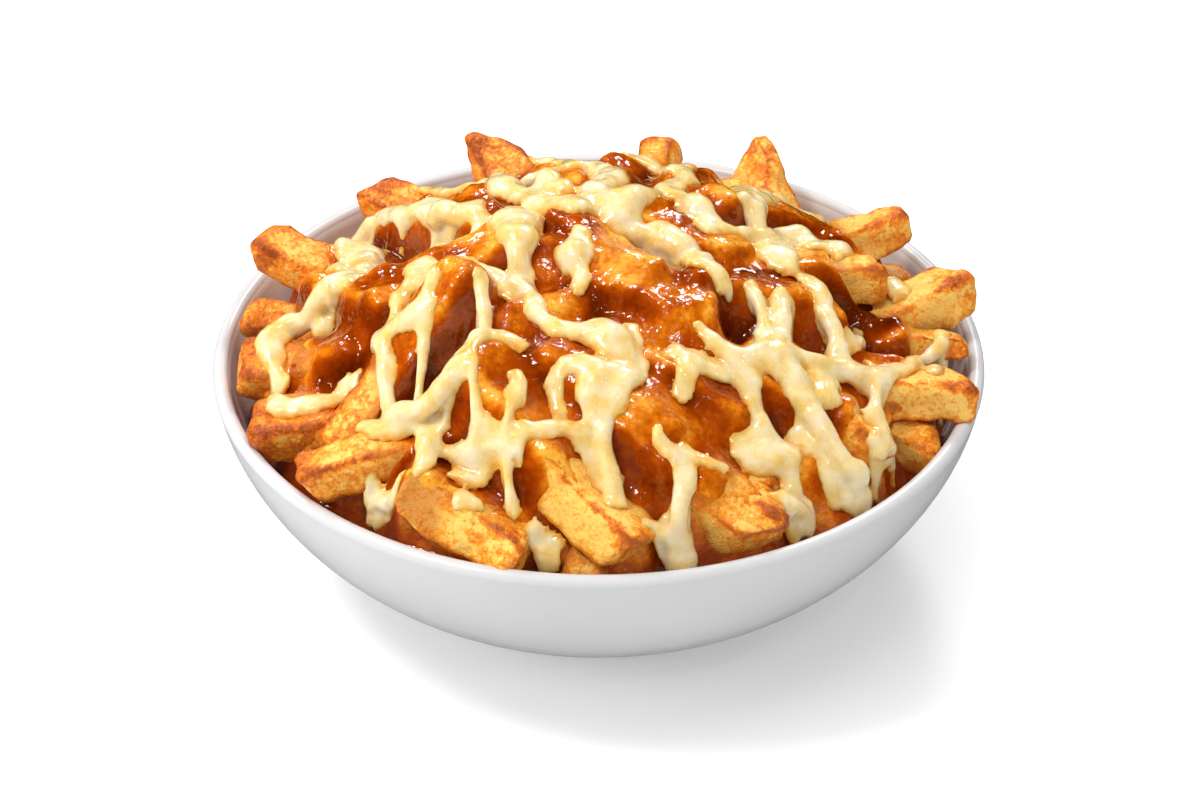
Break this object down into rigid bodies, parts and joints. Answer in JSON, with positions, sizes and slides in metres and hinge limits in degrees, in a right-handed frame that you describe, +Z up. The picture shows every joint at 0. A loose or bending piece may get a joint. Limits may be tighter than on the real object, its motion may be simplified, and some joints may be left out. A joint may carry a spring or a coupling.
{
  "type": "poutine",
  "caption": "Thick-cut chips heaped over the rim of a round white serving bowl, coated in brown gravy, with a web of melted cheese.",
  "frame": {"origin": "centre of the bowl's foot, on the surface it stands on", "axes": "+Z up, -Y the side towards the diner, +X to the diner's right"},
  "size_m": [0.22, 0.22, 0.1216],
  "materials": {
    "glazed_white": "satin white glaze",
    "fried_potato": "fried potato, golden faces, browned edges, slightly oily",
    "gravy": "glossy brown gravy, amber where thin",
    "melted_cheese": "soft melted cheese, pale cream, moist sheen"
  },
  "bodies": {
    "root": {"bowl": "glazed_white", "fries": "fried_potato", "gravy": "gravy", "cheese": "melted_cheese"}
  },
  "joints": []
}
